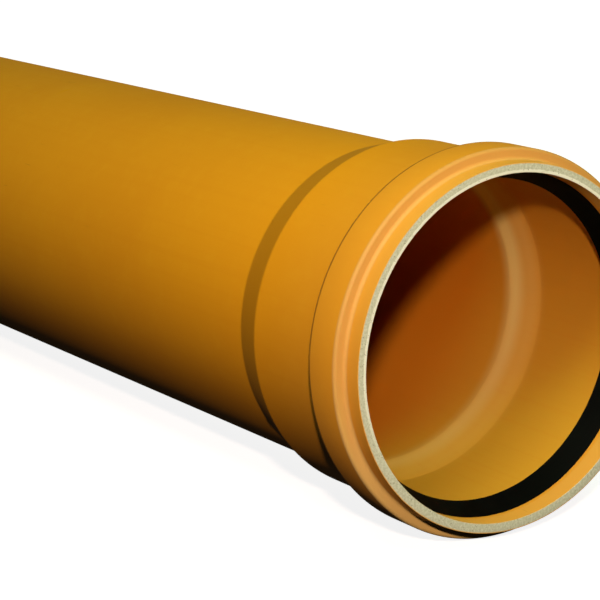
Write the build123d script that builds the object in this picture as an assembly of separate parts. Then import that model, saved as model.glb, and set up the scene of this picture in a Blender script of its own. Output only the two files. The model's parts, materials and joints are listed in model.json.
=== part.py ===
from build123d import *
import math
import os

# A PVC-U drain pipe with a belled socket, lying on a level floor along X with its mouth towards +X.
# It is drawn on its own axis first, mouth at x = 0 and spigot at -x, and laid down at the end.
# Stations are distances back from the mouth. Millimetres and degrees.

# Barrel
barrel_diameter = 160.0
barrel_wall = 4.7
laying_length = 1000.0          # from the spigot's end to the stop inside the socket, as the pipe is sold
spigot_end_wall = 2.4           # what the chamfer leaves of the wall
spigot_chamfer_angle = 15.0

# Socket
spigot_clearance = 0.3          # radial room round an inserted spigot
socket_wall = 4.5
socket_depth = 77.0             # from the mouth to the stop, where the bore starts to narrow
transition_length = 18.6        # cone from the socket's bore down to the barrel's
shoulder_setback = 5.4          # how far the cone outside lies behind the cone inside
transition_round = 8.0

# Bead near the mouth, with the seal's groove inside it
lip_length = 9.7                # plain collar between the mouth and the bead
bead_width = 20.7
bead_height = 5.5
bead_flank_wall = 3.4
bead_round = 1.6

# Sealing ring, with its lip pressed back as it lies round an inserted spigot
seal_seat_gap = 0.4             # room between the ring and the groove's walls
seal_spigot_gap = 0.1           # room between the pressed lip and the spigot
seal_shoulder_cut = 1.5         # corners that are cut off the ring's back
seal_lip_thickness = 1.6
seal_lip_edge = 0.8             # what the lip tapers to
seal_notch_height = 1.4         # slot behind the lip
seal_heel_length = 4.0          # rubber that joins the lip to the ring's body

# Radii that follow
barrel_radius = barrel_diameter / 2
bore_radius = barrel_radius - barrel_wall
socket_bore_radius = barrel_radius + spigot_clearance
socket_radius = socket_bore_radius + socket_wall
bead_radius = socket_radius + bead_height
groove_radius = socket_bore_radius + bead_height
spigot_end_radius = bore_radius + spigot_end_wall

# Stations that follow
total_length = laying_length + socket_depth
chamfer_length = (barrel_wall - spigot_end_wall) / math.tan(math.radians(spigot_chamfer_angle))
chamfer_station = total_length - chamfer_length
bead_start = lip_length
bead_end = lip_length + bead_width
groove_start = bead_start + bead_flank_wall
groove_end = bead_end - bead_flank_wall
stop_station = socket_depth
bore_station = stop_station + transition_length
shoulder_start = stop_station + shoulder_setback
shoulder_end = bore_station + shoulder_setback


def revolved(corners):
    """Ring about X from its section's corners, each a station, a radius and the rounding there."""
    outline = Polyline(*[(-station, radius) for station, radius, rounding in corners], close=True)
    section = make_face(outline)
    for station, radius, rounding in corners:
        if rounding > 0:
            corner = section.vertices().sort_by_distance((-station, radius, 0))[0]
            section = fillet(corner, rounding)
    return revolve(Plane.XZ * section, Axis.X)


def make_pipe():
    """Barrel, cone, socket and bead: one wall, belled out at its hot end and chamfered at the other."""
    outside = [
        (0, socket_radius, 0),
        (bead_start, socket_radius, bead_round),
        (bead_start, bead_radius, bead_round),
        (bead_end, bead_radius, bead_round),
        (bead_end, socket_radius, bead_round),
        (shoulder_start, socket_radius, transition_round),
        (shoulder_end, barrel_radius, transition_round),
        (chamfer_station, barrel_radius, 0),
        (total_length, spigot_end_radius, 0),
    ]
    inside = [
        (total_length, bore_radius, 0),
        (bore_station, bore_radius, transition_round),
        (stop_station, socket_bore_radius, transition_round),
        (groove_end, socket_bore_radius, 0),
        (groove_end, groove_radius, 0),
        (groove_start, groove_radius, 0),
        (groove_start, socket_bore_radius, 0),
        (0, socket_bore_radius, 0),
    ]
    return revolved(outside + inside)


def make_sealing_ring():
    """Rubber ring that fills the groove, with a lip along the spigot and a slot behind the lip."""
    front = groove_start + seal_seat_gap
    rear = groove_end - seal_seat_gap
    back = groove_radius - seal_seat_gap
    lip = barrel_radius + seal_spigot_gap
    lip_back = lip + seal_lip_thickness
    return revolved([
        (front, lip, 0),
        (front, back - seal_shoulder_cut, 0),
        (front + seal_shoulder_cut, back, 0),
        (rear - seal_shoulder_cut, back, 0),
        (rear, back - seal_shoulder_cut, 0),
        (rear, lip_back + seal_notch_height, 0),
        (front + seal_heel_length, lip_back, 0),
        (rear, lip + seal_lip_edge, 0),
        (rear, lip, 0),
    ])


def lying_on_floor():
    """Place at rest: the bead and the spigot's edge touch the floor, so the mouth stands a little high."""
    run = chamfer_station - (bead_end - bead_round)
    rise = bead_radius - bead_round - barrel_radius
    tilt = math.atan2(rise, run) + math.asin(bead_round / math.hypot(run, rise))
    lift = chamfer_station * math.sin(tilt) + barrel_radius * math.cos(tilt)
    mouth_end = socket_radius * math.sin(tilt)
    spigot_end = -total_length * math.cos(tilt) - spigot_end_radius * math.sin(tilt)
    return Pos(-(mouth_end + spigot_end) / 2, 0, lift) * Rot(0, -math.degrees(tilt), 0)


os.makedirs("parts", exist_ok=True)
place = lying_on_floor()
export_step(place * make_pipe(), "parts/pipe.step")
export_step(place * make_sealing_ring(), "parts/sealing_ring.step")
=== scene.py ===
import json
import math

import bmesh
import bpy
from bpy.props import FloatProperty, FloatVectorProperty, IntProperty, PointerProperty
from bpy.types import Operator, Panel, PropertyGroup
from mathutils import Matrix, Vector


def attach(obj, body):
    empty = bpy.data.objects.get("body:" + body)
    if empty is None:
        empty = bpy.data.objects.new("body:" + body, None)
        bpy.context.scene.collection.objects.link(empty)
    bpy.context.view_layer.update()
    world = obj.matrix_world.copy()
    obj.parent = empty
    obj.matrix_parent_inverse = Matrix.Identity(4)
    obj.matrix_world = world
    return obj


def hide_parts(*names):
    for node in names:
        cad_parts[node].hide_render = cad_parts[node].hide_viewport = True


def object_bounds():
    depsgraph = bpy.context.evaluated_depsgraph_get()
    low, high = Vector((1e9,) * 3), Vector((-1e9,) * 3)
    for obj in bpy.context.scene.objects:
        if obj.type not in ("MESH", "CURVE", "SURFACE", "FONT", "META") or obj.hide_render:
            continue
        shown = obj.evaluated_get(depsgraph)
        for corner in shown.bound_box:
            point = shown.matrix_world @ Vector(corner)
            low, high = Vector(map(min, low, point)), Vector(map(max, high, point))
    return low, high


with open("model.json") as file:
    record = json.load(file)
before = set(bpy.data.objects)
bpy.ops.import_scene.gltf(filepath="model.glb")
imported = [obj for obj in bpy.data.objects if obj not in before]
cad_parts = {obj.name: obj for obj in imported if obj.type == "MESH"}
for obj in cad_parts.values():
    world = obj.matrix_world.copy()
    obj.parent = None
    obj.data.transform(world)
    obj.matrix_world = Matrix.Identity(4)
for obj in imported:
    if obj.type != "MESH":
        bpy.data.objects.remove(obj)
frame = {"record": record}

bl_info = {
    "name": "Drain Pipe",
    "version": (1, 0, 0),
    "blender": (4, 5, 0),
    "location": "3D View > Sidebar > Pipe",
    "description": "Dresses a socketed plastic drain pipe with its rubber seal and sets it in a studio",
    "category": "Object",
}

CAD_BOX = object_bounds()
MOUNTS = {mount["name"]: mount for mount in frame["record"]["mounts"]}
SOCKET = MOUNTS["socket"]
SPIGOT = MOUNTS["spigot"]
MM = 0.001
WHITE = (1.0, 1.0, 1.0, 1.0)
ROUNDING_STEPS = 6                  # facets of a rounded corner
SHARP_TURN = math.radians(28)       # corners of a section that turn more than this stay sharp
SKIN, CUT, BORE = 0, 1, 2           # finishes of the pipe's wall, in the order of its material slots
RUBBER = 0                          # the sealing ring's only finish


def length(name, description, millimetres):
    """A length in the sidebar, written here in millimetres."""
    return FloatProperty(name=name, description=description, default=millimetres * MM, min=0.0,
                         unit="LENGTH", precision=5)


def turn(name, description, degrees):
    """An angle in the sidebar, written here in degrees."""
    return FloatProperty(name=name, description=description, default=math.radians(degrees), unit="ROTATION")


def share(name, description, value):
    """A plain number in the sidebar."""
    return FloatProperty(name=name, description=description, default=value, min=0.0, precision=3)


def linear(level):
    """Light that a screen level of 0 to 255 stands for."""
    part = level / 255
    return part / 12.92 if part <= 0.04045 else ((part + 0.055) / 1.055) ** 2.4


def colour(name, description, red, green, blue):
    """A colour in the sidebar, written here as the screen shows it, 0 to 255."""
    return FloatVectorProperty(name=name, description=description, subtype="COLOR", size=3, min=0.0, max=1.0,
                               default=[linear(level) for level in (red, green, blue)])


# Sizes and colours that a user would change

class PipeSizes(PropertyGroup):
    """Section of the pipe's wall; stations run back from the mouth."""
    barrel_radius: length("Barrel radius", "Outside of the barrel", SPIGOT["dims"]["r_mm"])
    barrel_wall: length("Barrel wall", "Thickness of the barrel", 4.7)
    laying_length: length("Laying length", "From the spigot's end to the stop in the socket", 1000.0)
    spigot_end_wall: length("Spigot end wall", "What the chamfer leaves of the wall", 2.4)
    chamfer_angle: turn("Chamfer angle", "Slope of the spigot's chamfer", 15.0)
    socket_bore: length("Socket bore", "Radius inside the socket", SOCKET["dims"]["r_mm"])
    socket_wall: length("Socket wall", "Thickness of the socket", 4.5)
    socket_depth: length("Socket depth", "From the mouth to the stop", 77.0)
    transition_length: length("Cone length", "Cone between socket and barrel", 18.6)
    shoulder_setback: length("Shoulder setback", "How far the outer cone lies behind the inner one", 5.4)
    transition_round: length("Cone rounding", "Rounding at both ends of the cone", 8.0)
    lip_length: length("Collar length", "Plain collar in front of the bead", 9.7)
    bead_width: length("Bead width", "Width of the bead", 20.7)
    bead_height: length("Bead height", "Height of the bead over the socket", 5.5)
    bead_flank_wall: length("Bead flank wall", "Thickness of the bead's flanks", 3.4)
    bead_round: length("Bead rounding", "Rounding of the bead's corners", 1.6)
    saw_edge: length("Sawn edge", "Break of the sawn edges", 0.15)
    skin: length("Skin", "Thickness of the coloured skin over the core", 0.45)
    segments: IntProperty(name="Segments", description="Facets round the pipe", default=288, min=24)


class SealSizes(PropertyGroup):
    """Section of the sealing ring with its lip standing free."""
    toe_station: length("Toe station", "Where the ring starts behind the mouth", 11.1)
    lip_station: length("Lip station", "Where the lip's edge stands", 21.2)
    lip_radius: length("Lip radius", "Radius of the lip's edge", 74.9)
    edge_run: length("Edge run", "How far the lip's blunt edge runs back", 0.7)
    edge_rise: length("Edge rise", "How far the lip's blunt edge rises", 0.49)
    edge_round: length("Edge rounding", "Rounding of the lip's edge", 0.245)
    root_station: length("Root station", "Where the lip leaves the ring's body", 16.5)
    root_drop: length("Root drop", "How far the lip's root lies inside the collar's wall", 1.2)
    root_round: length("Root rounding", "Rounding of the lip's root", 0.6)
    heel_drop: length("Heel drop", "How far the ring's rear corner lies inside the collar's wall", 0.6)
    heel_round: length("Heel rounding", "Rounding of the ring's rear corner", 0.5)
    seat_gap: length("Seat gap", "Room between the ring and the groove", 0.4)
    wall_gap: length("Wall gap", "Room between the toe and the collar's wall", 0.12)
    shoulder_cut: length("Shoulder cut", "Corners cut off the ring's back", 1.5)


class Finishes(PropertyGroup):
    """Colours, shine and grain of the plastic and the rubber."""
    skin: colour("Skin", "Orange skin", 216, 145, 15)
    skin_worn: colour("Worn skin", "Skin where it is rubbed pale", 222, 160, 30)
    skin_deep: colour("Deep skin", "Skin where it is a little darker", 208, 134, 12)
    skin_stretched: colour("Stretched skin", "Skin where the bead was formed", 196, 148, 86)
    # Paled skin, also used as painted light on the flank's bottom, on the collar and on the inner cone's
    # band
    pale_skin_and_light: colour("Paled skin", "Skin where the forming paled it most", 217, 186, 110)
    # Painted shade: darker skin laid on the outer cone, which faces away from the lamps
    cone_painted_shade: colour("Heated skin", "Skin browned where the cone was drawn", 176, 117, 4)
    # Grime in nicks and stains, and also painted shade in the crease at the bead's rear
    grime_and_shade: colour("Grime", "Dust in corners and scratches", 94, 58, 16)
    bore: colour("Bore", "Inner skin of the socket", 206, 154, 46)
    # Also the colour of painted shade towards the top of the bore and deep in the barrel
    bore_deep: colour("Deep bore", "Inner skin of the barrel", 200, 118, 20)
    core: colour("Core", "Sawn core", 186, 188, 172)
    core_pale: colour("Pale core", "Smeared plastic on the sawn core", 243, 245, 237)
    core_pore: colour("Core pore", "Pores and grit in the core", 112, 102, 82)
    rubber: colour("Rubber", "Sealing ring", 3, 4, 4)
    rubber_bloom: colour("Rubber bloom", "Pale bloom on the ring", 9, 13, 12)
    skin_rough: share("Skin roughness", "Roughness of the clean outer skin", 0.52)
    bore_rough: share("Bore roughness", "Roughness of the clean inner skin", 0.42)
    core_rough: share("Core roughness", "Roughness of the sawn core", 0.62)
    rubber_rough: share("Rubber roughness", "Roughness of the clean rubber", 0.5)
    skin_shine: share("Skin shine", "Strength of the outer skin's gloss", 0.3)
    bore_shine: share("Bore shine", "Strength of the inner skin's gloss", 0.35)
    rubber_shine: share("Rubber shine", "Strength of the rubber's gloss", 0.03)
    skin_relief: length("Skin relief", "Depth of the outer skin's lines and scuffs", 0.06)
    bore_relief: length("Bore relief", "Depth of the inner skin's lines", 0.05)
    core_relief: length("Core relief", "Depth of the core's grit and saw marks", 0.12)
    rubber_relief: length("Rubber relief", "Depth of the rubber's moulding rings", 0.05)


class StudioSettings(PropertyGroup):
    """Camera and lights. A softbox's round is its way round the pipe from the near horizon,
    and its slant is how far it lies off the mouth's axis."""
    azimuth: turn("Azimuth", "Camera's way round the pipe", 56.344)
    elevation: turn("Elevation", "Camera's height over the horizon", 13.454)
    distance: length("Distance", "From the camera to the mouth, along the view", 1002.6)
    mouth_right: length("Mouth right", "Mouth's middle, right of the picture's middle", 95.2)
    mouth_down: length("Mouth down", "Mouth's middle, below the picture's middle", 22.5)
    lens: FloatProperty(name="Lens", description="Focal length in millimetres", default=134.34)
    sensor: FloatProperty(name="Sensor", description="Width of the sensor in millimetres", default=36.0)
    key_power: share("Key power", "Softbox over the camera, in watts", 10.6)
    key_size: length("Key size", "Width of the key softbox", 60.0)
    key_reach: length("Key reach", "From the key softbox to the mouth", 1050.0)
    key_round: turn("Key height", "Way round the pipe to the key softbox", 36.6)
    key_slant: turn("Key slant", "Angle between the mouth's axis and the way to the key softbox", 44.1)
    key_tint: colour("Key tint", "Warm light of the key softbox", 255, 222, 200)
    top_power: share("Top power", "Softbox over the barrel, in watts", 25.5)
    top_size: length("Top size", "Width of the top softbox", 800.0)
    top_reach: length("Top reach", "From the top softbox to the barrel", 2200.0)
    top_round: turn("Top height", "Way round the pipe to the top softbox", 62.0)
    top_slant: turn("Top slant", "Angle between the mouth's axis and the way to the top softbox", 70.0)
    top_tint: colour("Top tint", "Slightly yellow-green light of the top softbox", 248, 255, 214)
    top_station: length("Top station", "What the top softbox points at, behind the mouth", 260.0)
    front_power: share("Front power", "Softbox over the mouth, in watts", 8.8)
    front_size: length("Front size", "Width of the front softbox", 500.0)
    front_reach: length("Front reach", "From the front softbox to the mouth", 1800.0)
    front_round: turn("Front height", "Way round the pipe to the front softbox", 88.0)
    front_slant: turn("Front slant", "Angle between the mouth's axis and the way to the front softbox", 56.0)
    front_tint: colour("Front tint", "Greenish light of the front softbox", 176, 255, 170)
    back_power: share("Back power", "Softbox behind the pipe, in watts", 96.0)
    back_size: length("Back size", "Width of the back softbox", 2000.0)
    back_reach: length("Back reach", "From the back softbox to the pipe's middle", 3300.0)
    back_round: turn("Back height", "Way round the pipe to the back softbox", 176.33)
    back_slant: turn("Back slant", "Angle between the mouth's axis and the way to the back softbox", 128.42)
    back_tint: colour("Back tint", "Nearly white light of the back softbox", 255, 244, 236)
    room_light: share("Room light", "Light from all round", 0.006)
    room_sheen: share("Room sheen", "How much of the white room the plastic's gloss mirrors", 0.05)
    floor_size: length("Floor size", "Width of the floor", 24000.0)
    floor_bounce: share("Floor bounce", "What the floor throws back at the pipe", 0.006)
    floor_glow: share("Floor glow", "White of the floor in full shadow, to the camera", 0.86)
    floor_grey: share("Floor grey", "What the lamps add to that white, to the camera", 0.5)
    floor_sheen: share("Floor sheen", "How much of the white floor the plastic's gloss mirrors", 0.02)


# Shader nodes as Python expressions

class Value:
    """One number over a surface; arithmetic with it adds Math nodes."""

    def __init__(self, nodes, socket):
        self.nodes = nodes
        self.socket = socket

    def calc(self, operation, *operands):
        """What a Math node makes of the operands."""
        node = self.nodes.add("ShaderNodeMath", {"operation": operation}, dict(enumerate(operands)))
        return Value(self.nodes, node.outputs[0])

    def __add__(self, other):
        return self.calc("ADD", self, other)

    def __radd__(self, other):
        return self.calc("ADD", other, self)

    def __sub__(self, other):
        return self.calc("SUBTRACT", self, other)

    def __rsub__(self, other):
        return self.calc("SUBTRACT", other, self)

    def __mul__(self, other):
        return self.calc("MULTIPLY", self, other)

    def __rmul__(self, other):
        return self.calc("MULTIPLY", other, self)

    def __truediv__(self, other):
        return self.calc("DIVIDE", self, other)

    def __rtruediv__(self, other):
        return self.calc("DIVIDE", other, self)

    def root(self):
        return self.calc("SQRT", self)

    def sine(self):
        return self.calc("SINE", self)

    def between(self, low, high):
        """0 below low, 1 above high, smooth in between; low may be the larger one."""
        node = self.nodes.add("ShaderNodeMapRange", {"interpolation_type": "SMOOTHSTEP"},
                              {"Value": self, "From Min": low, "From Max": high})
        return Value(self.nodes, node.outputs["Result"])

    def band(self, rise, fall):
        """1 inside a band and 0 outside; it rises and falls over these two pairs of values."""
        return self.between(*rise) * self.between(*reversed(fall))


class Nodes:
    """The node tree of one material or world."""

    def __init__(self, owner):
        owner.use_nodes = True
        self.tree = owner.node_tree
        self.tree.nodes.clear()

    def add(self, kind, settings=None, sockets=None):
        """Any node: its type, its settings, then the values or links of its sockets."""
        node = self.tree.nodes.new(kind)
        for name, setting in (settings or {}).items():
            setattr(node, name, setting)
        for name, value in (sockets or {}).items():
            if isinstance(value, Value):
                self.tree.links.new(value.socket, node.inputs[name])
            else:
                node.inputs[name].default_value = value
        return node

    def out(self, node, name=0):
        return Value(self, node.outputs[name])

    def place(self):
        """Place on the pipe's own axes: x out of the mouth, y and z across the pipe."""
        frame_place = self.out(self.add("ShaderNodeTexCoord"), "Object")
        lying = pipe_place()
        node = self.add("ShaderNodeMapping", {"vector_type": "TEXTURE"},
                        {"Vector": frame_place, "Location": lying.translation, "Rotation": lying.to_euler()})
        return self.out(node)

    def part(self, vector, axis):
        return self.out(self.add("ShaderNodeSeparateXYZ", None, {"Vector": vector}), axis)

    def station(self, place):
        """Distance behind the mouth."""
        return 0.0 - self.part(place, "X")

    def radius(self, place):
        """Distance from the pipe's axis."""
        side = self.part(place, "Y")
        up = self.part(place, "Z")
        return (side * side + up * up).root()

    def height(self, place, sizes):
        """About -1 at the bottom of the wall and 1 at its top."""
        return self.part(place, "Z") / sizes.socket_bore

    def noise(self, vector, scale, detail=3.0, roughness=0.55):
        node = self.add("ShaderNodeTexNoise", None,
                        {"Vector": vector, "Scale": scale, "Detail": detail, "Roughness": roughness})
        return self.out(node, "Fac")

    def streaks(self, vector, scales, detail=3.0, roughness=0.55):
        """Noise with a scale of its own along each axis."""
        stretched = self.add("ShaderNodeVectorMath", {"operation": "MULTIPLY"}, {0: vector, 1: scales})
        return self.noise(self.out(stretched), 1.0, detail, roughness)

    def cells(self, vector, scale):
        """Distance to the nearest of a cloud of points."""
        node = self.add("ShaderNodeTexVoronoi", {"feature": "F1"}, {"Vector": vector, "Scale": scale})
        return self.out(node, "Distance")

    def mix(self, factor, first, second):
        """Blend of two colours."""
        sockets = {0: factor, 6: rgba(first), 7: rgba(second)}
        node = self.add("ShaderNodeMix", {"data_type": "RGBA"}, sockets)
        return self.out(node, 2)

    def bump(self, height, distance, strength):
        node = self.add("ShaderNodeBump", None,
                        {"Height": height, "Distance": distance, "Strength": strength})
        return self.out(node, "Normal")

    def seen(self, sheen):
        """1 where the camera sees it, straight or through glass, and sheen where a gloss mirrors it."""
        path = self.add("ShaderNodeLightPath")
        straight = self.out(path, "Is Camera Ray")
        mirrored = self.out(path, "Is Glossy Ray")
        through = self.out(path, "Is Transmission Ray")
        return straight + mirrored * sheen + through

    def surface(self, **sockets):
        """Plastic or rubber with these sockets, sent to the output."""
        titled = {name.replace("_", " ").title(): value for name, value in sockets.items()}
        named = {title.replace("Ior", "IOR"): value for title, value in titled.items()}
        self.finish(self.add("ShaderNodeBsdfPrincipled", None, named))

    def finish(self, shader, kind="ShaderNodeOutputMaterial"):
        self.add(kind, None, {"Surface": self.out(shader)})


def rgba(value):
    """A colour with its alpha, or the link it already is."""
    return value if isinstance(value, Value) else (*value, 1.0)


def new_material(name):
    """An empty material and its nodes."""
    material = bpy.data.materials.new(name)
    return material, Nodes(material)


# Materials

def pvc_skin_material(sizes, finishes):
    """Orange PVC: clouded colour, faint lines along the extrusion, and scuffs.
    The cone is darkened with painted shade, and painted shade lies in the crease at the bead's rear. The
    bead's front is paled where it was formed, and painted light pales the flank's bottom and the collar's
    top and inner face."""
    material, nodes = new_material("pvc_skin")
    place = nodes.place()
    station = nodes.station(place)
    high = nodes.height(place, sizes)
    low = high.between(0.1, -0.8)

    cloud = nodes.noise(place, 9.0)
    mottle = nodes.noise(place, 130.0, detail=2.0)
    lines = nodes.streaks(place, (1.5, 260.0, 260.0), detail=4.0, roughness=0.6)
    fine_lines = nodes.streaks(place, (8.0, 900.0, 900.0), detail=2.0)
    grain = nodes.noise(place, 1400.0, detail=2.0)
    handled = nodes.noise(place, 14.0, detail=2.0).between(0.52, 0.72)
    scuff = nodes.streaks(place, (420.0, 60.0, 60.0), roughness=0.7).between(0.60, 0.74) * handled
    nick = nodes.streaks(place, (40.0, 700.0, 700.0), detail=2.0).between(0.70, 0.76) * handled

    bead_start = sizes.lip_length
    bead_end = bead_start + sizes.bead_width
    cone_start = sizes.socket_depth + sizes.shoulder_setback
    cone_end = cone_start + sizes.transition_length
    soft = 1.5 * MM
    outside = nodes.radius(place).between(sizes.socket_bore + 1.0 * MM, sizes.socket_bore + 2.0 * MM)
    collar = station.between(bead_start, bead_start - 1.0 * MM)
    flank = station.band((bead_start - 2.4 * MM, bead_start - 1.2 * MM),
                         (bead_start + 1.0 * MM, bead_start + 2.4 * MM)) * outside
    crease = station.band((bead_end - 2.3 * MM, bead_end - 1.9 * MM), (bead_end, bead_end + 1.2 * MM))
    cone = station.band((cone_start - soft, cone_start + soft), (cone_end - soft, cone_end + soft))
    # Painted shade in the crease at the bead's rear edge, broken up by noise
    crease_shade = crease * nodes.noise(place, 60.0).between(0.1, 0.45)
    socket = station.between(cone_start, bead_end)
    bead = station.between(bead_end + 2.0 * MM, bead_end)
    # Stretched tone where the socket was formed, made stronger towards the bottom as painted light
    formed_and_light = (socket * 0.07 + bead * 0.05) * (1.0 + low * 0.8) + flank * (0.5 + cloud * 0.3)
    # Paler collar; as painted light it is paler still at its top and on its inner face, and the flank's
    # bottom is paled
    lightened = collar * (1.0 - outside) * 0.2 + collar * (0.08 + high * 0.1) + flank * low * 0.7

    tone = nodes.mix(cloud.between(0.3, 0.75) * 0.6, finishes.skin, finishes.skin_deep)
    tone = nodes.mix(mottle.between(0.45, 0.75) * 0.12, tone, finishes.skin_worn)
    tone = nodes.mix(lines.between(0.50, 0.72) * 0.18, tone, finishes.skin_deep)
    tone = nodes.mix(scuff * 0.35, tone, finishes.skin_worn)
    tone = nodes.mix(formed_and_light, tone, finishes.skin_stretched)
    tone = nodes.mix(lightened, tone, finishes.pale_skin_and_light)
    # Painted shade on the cone
    tone = nodes.mix(cone * (0.6 + cloud * 0.3), tone, finishes.cone_painted_shade)
    # Grime in the nicks, and painted shade in the crease
    tone = nodes.mix(nick * 0.4 + crease_shade * 0.65, tone, finishes.grime_and_shade)

    rough = finishes.skin_rough + cloud * 0.08 + lines * 0.05 + scuff * 0.12
    relief = lines * 0.5 + fine_lines * 0.2 + grain * 0.12 + scuff * 0.3 - nick * 0.8
    nodes.surface(base_color=tone, roughness=rough, specular_ior_level=finishes.skin_shine,
                  normal=nodes.bump(relief, finishes.skin_relief, strength=0.6))
    return material


def pvc_bore_material(sizes, finishes):
    """Inner skin: browner deep in the barrel, partly as painted shade, darker towards the top and yellower
    towards the bottom as painted shade and light, with lines along the pipe. The cone carries a painted
    highlight, faint at the stop, stronger at its narrow end and towards the top."""
    material, nodes = new_material("pvc_bore")
    place = nodes.place()
    station = nodes.station(place)
    high = nodes.height(place, sizes)
    cloud = nodes.noise(place, 11.0)
    lines = nodes.streaks(place, (2.0, 300.0, 300.0), detail=4.0, roughness=0.6)
    grain = nodes.noise(place, 1300.0, detail=2.0)

    stop = sizes.socket_depth
    cone_end = stop + sizes.transition_length
    # Painted highlight on the inner cone: faint at the stop, stronger at its narrow end
    faint = station.between(stop - 5.0 * MM, stop + 6.0 * MM) * 0.33
    strong = station.between(cone_end - 11.0 * MM, cone_end - 3.0 * MM) * 0.65
    lightened = (faint + strong) * station.between(cone_end + 7.0 * MM, cone_end - 4.0 * MM)
    # Browner deep in the barrel, partly as painted shade
    barrel = station.between(stop, cone_end + 60.0 * MM)
    # Painted shade and light: darker towards the top, yellower towards the bottom
    browned_and_shade = barrel * 0.85 + cloud * 0.15 + high.between(-0.8, 0.8) * 0.55

    tone = nodes.mix(browned_and_shade, finishes.bore, finishes.bore_deep)
    tone = nodes.mix(lines.between(0.5, 0.72) * 0.12, tone, finishes.bore_deep)
    # Painted highlight, stronger towards the top
    tone = nodes.mix(lightened * (0.78 + cloud * 0.4 + high * 0.5), tone, finishes.pale_skin_and_light)

    rough = finishes.bore_rough + cloud * 0.08 + lines * 0.05
    relief = lines * 0.3 + grain * 0.2
    nodes.surface(base_color=tone, roughness=rough, specular_ior_level=finishes.bore_shine,
                  normal=nodes.bump(relief, finishes.bore_relief, strength=0.5))
    return material


def sawn_core_material(sizes, finishes):
    """Sawn PVC: a pale, gritty core with pores and saw marks between two thin orange skins.
    The inner edge is paler, except towards the bottom."""
    material, nodes = new_material("sawn_core")
    place = nodes.place()
    radius = nodes.radius(place)
    grit = nodes.noise(place, 900.0, roughness=0.65)
    pores = nodes.cells(place, 620.0).between(0.22, 0.08)
    pores = pores * nodes.noise(place, 140.0, detail=2.0).between(0.36, 0.56)
    stain = nodes.cells(place, 75.0).between(0.07, 0.03)
    smear = nodes.streaks(place, (60.0, 60.0, 420.0))

    at_mouth = nodes.station(place).between(20.0 * MM, 10.0 * MM)
    at_spigot = 1.0 - at_mouth
    outer = at_mouth * (sizes.socket_bore + sizes.socket_wall) + at_spigot * sizes.barrel_radius
    inner = at_mouth * sizes.socket_bore + at_spigot * (sizes.barrel_radius - sizes.barrel_wall)
    wander = (nodes.noise(place, 260.0, detail=2.0) - 0.5) * (0.5 * MM)
    blur = 0.25 * MM
    outer_skin = (outer - radius + wander).between(sizes.skin + blur, sizes.skin - blur)
    inner_skin = (radius - inner + wander).between(0.42 * MM, 0.22 * MM)
    # Paler band along the inner edge, faded out towards the bottom
    pale_rim = (radius - inner + wander * 1.6).between(1.7 * MM, 1.1 * MM) * smear.between(0.15, 0.45)
    pale_rim = pale_rim * nodes.height(place, sizes).between(-0.7, 0.0)

    tone = nodes.mix(grit.between(0.35, 0.7) * 0.4, finishes.core, finishes.core_pale)
    tone = nodes.mix(pale_rim * 0.9, tone, finishes.core_pale)
    tone = nodes.mix(pores * 0.7, tone, finishes.core_pore)
    tone = nodes.mix(stain * 0.55, tone, finishes.grime_and_shade)
    tone = nodes.mix(outer_skin * 0.75, tone, finishes.skin_worn)
    tone = nodes.mix(inner_skin * 0.15, tone, finishes.skin_worn)

    rough = finishes.core_rough + grit * 0.2
    relief = grit * 0.5 + smear * 0.5 - pores * 1.2
    nodes.surface(base_color=tone, roughness=rough,
                  normal=nodes.bump(relief, finishes.core_relief, strength=0.7))
    return material


def seal_rubber_material(finishes):
    """Black rubber: moulding rings round the lip, a patchy pale bloom and fine dust."""
    material, nodes = new_material("seal_rubber")
    place = nodes.place()
    bloom = nodes.noise(place, 45.0, detail=4.0, roughness=0.6)
    specks = nodes.cells(place, 900.0).between(0.12, 0.04)
    specks = specks * nodes.noise(place, 90.0, detail=2.0).between(0.5, 0.65)
    ring_rate = 5200.0              # radians to a metre of radius and station together
    rings = ((nodes.radius(place) + nodes.station(place)) * ring_rate).sine()
    grain = nodes.noise(place, 1600.0, detail=2.0)

    tone = nodes.mix(bloom.between(0.4, 0.75) * 0.6, finishes.rubber, finishes.rubber_bloom)
    tone = nodes.mix(specks * 0.5, tone, finishes.rubber_bloom)
    rough = finishes.rubber_rough + bloom * 0.25
    relief = rings * 0.25 + grain * 0.3
    nodes.surface(base_color=tone, roughness=rough, specular_ior_level=finishes.rubber_shine,
                  normal=nodes.bump(relief, finishes.rubber_relief, strength=0.5))
    return material


# Shapes

def outline_of(corners):
    """Points of a closed section, with the finish of the run that each starts.
    Each corner is a station, a radius, the rounding there and the finish of the run after it."""
    points = []
    for index, (station, radius, rounding, finish) in enumerate(corners):
        corner = Vector((station, radius))
        if rounding <= 0:
            points.append((corner, finish))
            continue
        before = (Vector(corners[index - 1][:2]) - corner).normalized()
        after = (Vector(corners[(index + 1) % len(corners)][:2]) - corner).normalized()
        half = before.angle(after) / 2
        centre = corner + (before + after).normalized() * (rounding / math.sin(half))
        start = corner + before * (rounding / math.tan(half)) - centre
        sweep = start.angle_signed(corner + after * (rounding / math.tan(half)) - centre)
        for step in range(ROUNDING_STEPS + 1):
            turned = start.copy()
            turned.rotate(Matrix.Rotation(-sweep * step / ROUNDING_STEPS, 2))
            points.append((centre + turned, finish))
    return points


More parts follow.
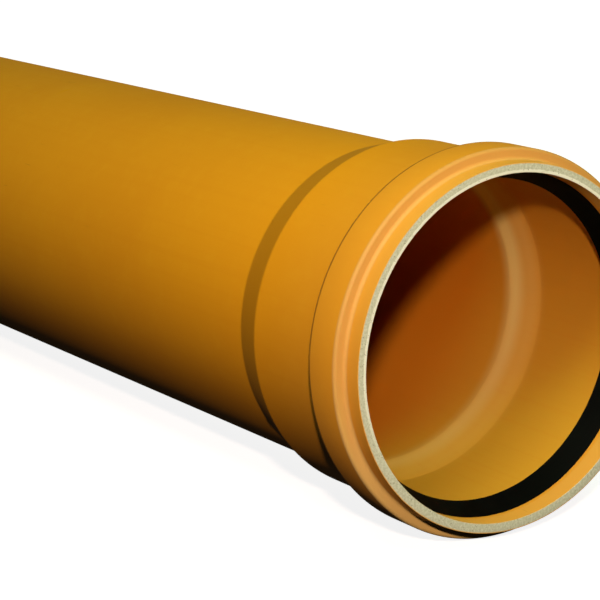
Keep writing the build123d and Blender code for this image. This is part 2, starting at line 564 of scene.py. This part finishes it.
def revolved_mesh(name, points, segments):
    """Closed ring about X through the section's points, its edges sharp where the section turns hard."""
    shape = bmesh.new()
    angles = [math.tau * facet / segments for facet in range(segments)]
    spokes = [(math.cos(angle), math.sin(angle)) for angle in angles]
    rings = []
    for point, finish in points:
        rings.append([shape.verts.new((-point.x, point.y * side, point.y * up)) for side, up in spokes])
    for index, (point, finish) in enumerate(points):
        first, second = rings[index], rings[(index + 1) % len(rings)]
        for facet in range(segments):
            after = (facet + 1) % segments
            face = shape.faces.new((first[facet], first[after], second[after], second[facet]))
            face.material_index = finish
            face.smooth = True
    bmesh.ops.recalc_face_normals(shape, faces=shape.faces)
    for index, (point, finish) in enumerate(points):
        coming = point - points[index - 1][0]
        going = points[(index + 1) % len(points)][0] - point
        if coming.angle(going) > SHARP_TURN:
            ring = rings[index]
            for facet in range(segments):
                shape.edges.get((ring[facet - 1], ring[facet])).smooth = False
    mesh = bpy.data.meshes.new(name)
    shape.to_mesh(mesh)
    shape.free()
    return mesh


def pipe_place():
    """From the pipe's own axes, mouth at the origin and x out of it, to where the pipe lies."""
    axis = Vector(SOCKET["axis"]).normalized()
    mouth = Vector(SOCKET["pos_m"]) + axis * (SOCKET["dims"]["length_mm"] * MM / 2)
    across = Vector((0, 1, 0))
    turned = Matrix((axis, across, axis.cross(across))).transposed()
    return Matrix.Translation(mouth) @ turned.to_4x4()


def add_piece(name, mesh, materials, node):
    """Puts the mesh where the pipe lies, in place of a node of the frame."""
    mesh.transform(pipe_place())
    piece = bpy.data.objects.new(name, mesh)
    bpy.context.scene.collection.objects.link(piece)
    for material in materials:
        mesh.materials.append(material)
    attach(piece, "root")
    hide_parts(node)


def pipe_section(sizes):
    """Corners of the wall's section, outside from the mouth to the spigot and back inside."""
    socket_radius = sizes.socket_bore + sizes.socket_wall
    bead_radius = socket_radius + sizes.bead_height
    groove_radius = sizes.socket_bore + sizes.bead_height
    bore = sizes.barrel_radius - sizes.barrel_wall
    total = sizes.laying_length + sizes.socket_depth
    chamfer = total - (sizes.barrel_wall - sizes.spigot_end_wall) / math.tan(sizes.chamfer_angle)
    bead_end = sizes.lip_length + sizes.bead_width
    bore_station = sizes.socket_depth + sizes.transition_length
    groove_start = sizes.lip_length + sizes.bead_flank_wall
    groove_end = bead_end - sizes.bead_flank_wall
    return [
        (0, socket_radius, sizes.saw_edge, SKIN),
        (sizes.lip_length, socket_radius, sizes.bead_round, SKIN),
        (sizes.lip_length, bead_radius, sizes.bead_round, SKIN),
        (bead_end, bead_radius, sizes.bead_round, SKIN),
        (bead_end, socket_radius, sizes.bead_round, SKIN),
        (sizes.socket_depth + sizes.shoulder_setback, socket_radius, sizes.transition_round, SKIN),
        (bore_station + sizes.shoulder_setback, sizes.barrel_radius, sizes.transition_round, SKIN),
        (chamfer, sizes.barrel_radius, 0, CUT),
        (total, bore + sizes.spigot_end_wall, sizes.saw_edge, CUT),
        (total, bore, sizes.saw_edge, BORE),
        (bore_station, bore, sizes.transition_round, BORE),
        (sizes.socket_depth, sizes.socket_bore, sizes.transition_round, BORE),
        (groove_end, sizes.socket_bore, 0, BORE),
        (groove_end, groove_radius, 0, BORE),
        (groove_start, groove_radius, 0, SKIN),
        (groove_start, sizes.socket_bore, 0, SKIN),
        (0, sizes.socket_bore, sizes.saw_edge, CUT),
    ]


def seal_section(sizes, seal):
    """Corners of the ring's section: toe on the collar's wall, free lip, body in the groove."""
    front = sizes.lip_length + sizes.bead_flank_wall + seal.seat_gap
    rear = sizes.lip_length + sizes.bead_width - sizes.bead_flank_wall - seal.seat_gap
    back = sizes.socket_bore + sizes.bead_height - seal.seat_gap
    wall = sizes.socket_bore - seal.wall_gap
    cut = seal.shoulder_cut
    corners = [
        (seal.toe_station, wall, 0),
        (seal.lip_station, seal.lip_radius, seal.edge_round),
        (seal.lip_station + seal.edge_run, seal.lip_radius + seal.edge_rise, seal.edge_round),
        (seal.root_station, wall - seal.root_drop, seal.root_round),
        (rear, wall - seal.heel_drop, seal.heel_round),
        (rear, back - cut, 0),
        (rear - cut, back, 0),
        (front + cut, back, 0),
        (front, back - cut, 0),
        (front, wall, 0),
    ]
    return [(*corner, RUBBER) for corner in corners]


# Stage

def make_floor(studio):
    """Pale floor: white with the pipe's shadow to the camera, dim in what it throws back."""
    material, nodes = new_material("studio_floor")
    bounce = nodes.add("ShaderNodeBsdfDiffuse", None, {"Color": rgba([studio.floor_bounce] * 3)})
    lit = nodes.add("ShaderNodeBsdfDiffuse", None, {"Color": rgba([studio.floor_grey] * 3)})
    glow = nodes.add("ShaderNodeEmission", None, {"Color": WHITE, "Strength": studio.floor_glow})
    white = nodes.add("ShaderNodeAddShader", None, {0: nodes.out(lit), 1: nodes.out(glow)})
    seen = nodes.seen(studio.floor_sheen)
    mixed = nodes.add("ShaderNodeMixShader", None, {0: seen, 1: nodes.out(bounce), 2: nodes.out(white)})
    nodes.finish(mixed)

    half = studio.floor_size / 2
    corners = [(-half, -half, 0), (half, -half, 0), (half, half, 0), (-half, half, 0)]
    mesh = bpy.data.meshes.new("studio_floor")
    mesh.from_pydata(corners, [], [(0, 1, 2, 3)])
    mesh.materials.append(material)
    floor = bpy.data.objects.new("studio_floor", mesh)
    bpy.context.scene.collection.objects.link(floor)


def make_room(studio):
    """White to the camera, faintly so to a gloss, and a dim grey room to everything else."""
    world = bpy.data.worlds.new("studio_room")
    bpy.context.scene.world = world
    nodes = Nodes(world)
    room = nodes.add("ShaderNodeBackground", None, {"Color": WHITE, "Strength": studio.room_light})
    white = nodes.add("ShaderNodeBackground", None, {"Color": WHITE, "Strength": 1.0})
    seen = nodes.seen(studio.room_sheen)
    mixed = nodes.add("ShaderNodeMixShader", None, {0: seen, 1: nodes.out(room), 2: nodes.out(white)})
    nodes.finish(mixed, "ShaderNodeOutputWorld")


def add_softbox(studio, name, target):
    """Round lamp that points at the target, from where the settings of that name put it."""
    settings = ("power", "size", "reach", "round", "slant", "tint")
    power, size, reach, way_round, slant, tint = [getattr(studio, f"{name}_{word}") for word in settings]
    across = math.sin(slant)
    way = Vector((math.cos(slant), -across * math.cos(way_round), across * math.sin(way_round)))
    lamp = bpy.data.lights.new(f"{name}_softbox", "AREA")
    lamp.shape = "DISK"
    lamp.size = size
    lamp.energy = power
    lamp.color = tint
    softbox = bpy.data.objects.new(f"{name}_softbox", lamp)
    softbox.location = target + way * reach
    softbox.rotation_mode = "QUATERNION"
    softbox.rotation_quaternion = (-way).to_track_quat("-Z", "Y")
    softbox.visible_camera = False
    bpy.context.scene.collection.objects.link(softbox)
    return softbox


def add_camera(studio, mouth):
    """Camera that has the mouth's middle where the settings put it in the picture."""
    scene = bpy.context.scene
    camera = bpy.data.objects.new("camera", bpy.data.cameras.new("camera"))
    camera.data.lens = studio.lens
    camera.data.sensor_width = studio.sensor
    upright = Matrix.Rotation(math.pi / 2 - studio.elevation, 4, "X")
    turned = Matrix.Rotation(studio.azimuth, 4, "Z") @ upright
    from_camera = Vector((studio.mouth_right, -studio.mouth_down, -studio.distance))
    camera.matrix_world = Matrix.Translation(mouth - turned.to_3x3() @ from_camera) @ turned
    scene.collection.objects.link(camera)
    scene.camera = camera


# Operators

class PIPE_OT_make_pipe(Operator):
    """Make the pipe: barrel, cone, socket, bead and collar in one wall"""
    bl_idname = "drain_pipe.make_pipe"
    bl_label = "Make Pipe"

    def execute(self, context):
        sizes = context.scene.pipe_sizes
        finishes = context.scene.pipe_finishes
        makers = {SKIN: pvc_skin_material, CUT: sawn_core_material, BORE: pvc_bore_material}
        materials = [makers[finish](sizes, finishes) for finish in (SKIN, CUT, BORE)]
        mesh = revolved_mesh("pipe_wall", outline_of(pipe_section(sizes)), sizes.segments)
        add_piece("pipe_wall", mesh, materials, "pipe")
        return {"FINISHED"}


class PIPE_OT_make_seal(Operator):
    """Make the sealing ring, with its lip standing free as it does before a pipe is pushed in"""
    bl_idname = "drain_pipe.make_seal"
    bl_label = "Make Seal"

    def execute(self, context):
        sizes = context.scene.pipe_sizes
        rubber = seal_rubber_material(context.scene.pipe_finishes)
        section = seal_section(sizes, context.scene.seal_sizes)
        mesh = revolved_mesh("seal_ring", outline_of(section), sizes.segments)
        add_piece("seal_ring", mesh, [rubber], "sealing_ring")
        return {"FINISHED"}


class PIPE_OT_make_stage(Operator):
    """Make the floor, the lights and the camera"""
    bl_idname = "drain_pipe.make_stage"
    bl_label = "Make Stage"

    def execute(self, context):
        studio = context.scene.pipe_studio
        make_floor(studio)
        make_room(studio)
        mouth = pipe_place().translation
        barrel = pipe_place() @ Vector((-studio.top_station, 0, 0))
        middle = (CAD_BOX[0] + CAD_BOX[1]) / 2
        add_softbox(studio, "key", mouth)
        add_softbox(studio, "top", barrel)
        add_softbox(studio, "front", mouth)
        add_softbox(studio, "back", middle).visible_glossy = False
        add_camera(studio, mouth)
        context.scene.view_settings.view_transform = "Standard"
        return {"FINISHED"}


class PIPE_PT_panel(Panel):
    """Sizes, finishes and steps of the pipe"""
    bl_label = "Drain Pipe"
    bl_idname = "PIPE_PT_panel"
    bl_space_type = "VIEW_3D"
    bl_region_type = "UI"
    bl_category = "Pipe"

    def draw(self, context):
        layout = self.layout
        for operator in OPERATORS:
            layout.operator(operator.bl_idname)
        for holder in HOLDERS:
            group = getattr(context.scene, holder)
            box = layout.box()
            box.label(text=group.bl_rna.name)
            for name in HOLDERS[holder].__annotations__:
                box.prop(group, name)


OPERATORS = (PIPE_OT_make_pipe, PIPE_OT_make_seal, PIPE_OT_make_stage)
HOLDERS = {
    "pipe_sizes": PipeSizes,
    "seal_sizes": SealSizes,
    "pipe_finishes": Finishes,
    "pipe_studio": StudioSettings,
}
CLASSES = (*HOLDERS.values(), *OPERATORS, PIPE_PT_panel)


def register():
    for cls in CLASSES:
        bpy.utils.register_class(cls)
    for holder, group in HOLDERS.items():
        setattr(bpy.types.Scene, holder, PointerProperty(type=group))


def unregister():
    for holder in HOLDERS:
        delattr(bpy.types.Scene, holder)
    for cls in reversed(CLASSES):
        bpy.utils.unregister_class(cls)


def main():
    register()
    bpy.ops.drain_pipe.make_pipe()
    bpy.ops.drain_pipe.make_seal()
    bpy.ops.drain_pipe.make_stage()


if __name__ == "__main__":
    main()
